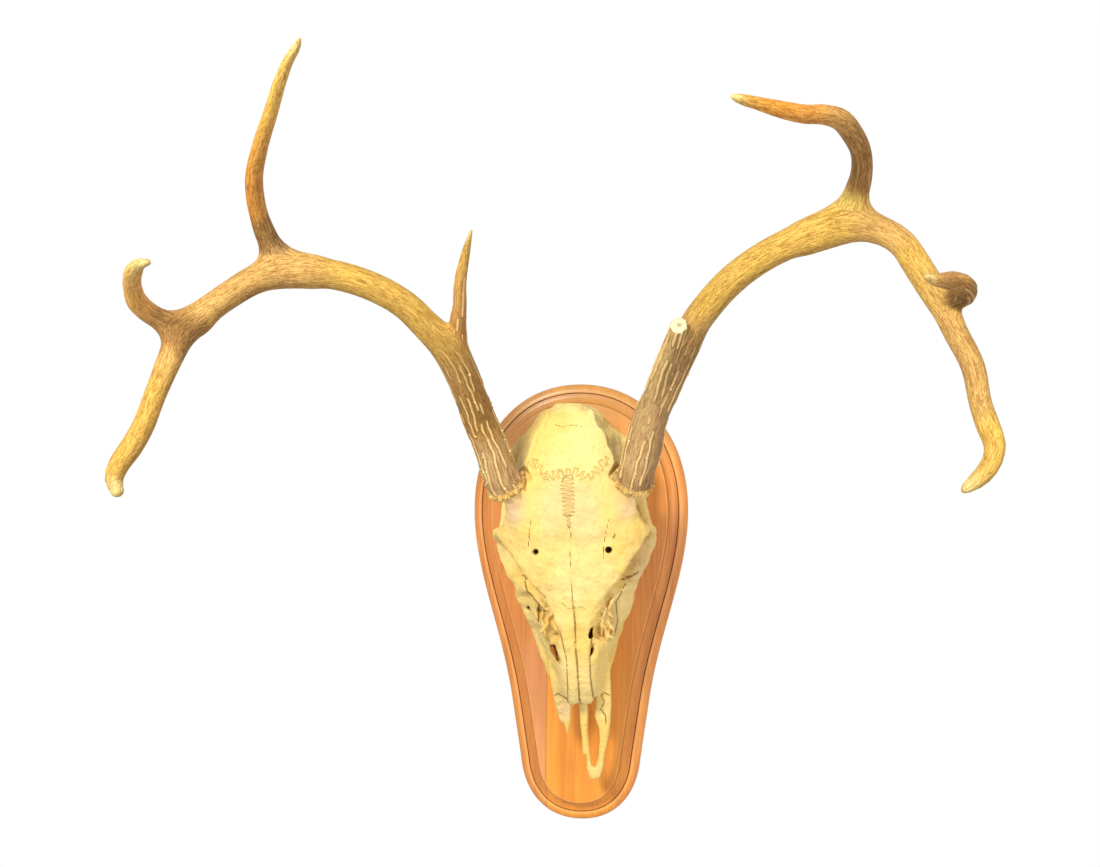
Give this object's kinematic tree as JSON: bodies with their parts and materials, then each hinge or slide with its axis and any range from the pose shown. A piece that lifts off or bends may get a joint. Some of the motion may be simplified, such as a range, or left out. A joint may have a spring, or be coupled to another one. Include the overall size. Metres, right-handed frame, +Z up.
{
  "type": "antler mounting plaque",
  "caption": "Bleached deer skull with a full antler rack, fixed to a teardrop wooden wall plaque with a moulded edge.",
  "frame": {"origin": "middle of the plaque's flat back face, where it lies on the wall", "axes": "+Z up, +Y into the wall, the front faces -Y, +X to the right of someone facing it"},
  "size_m": [0.551, 0.3719, 0.5261],
  "materials": {
    "plaque_wood": "satin lacquer",
    "skull_bone": "matt, bleached bone",
    "antler_horn": "satin, ribbed and pearled"
  },
  "bodies": {
    "root": {"plaque": "plaque_wood", "skull": "skull_bone", "antler_left": "antler_horn", "antler_right": "antler_horn"}
  },
  "joints": []
}
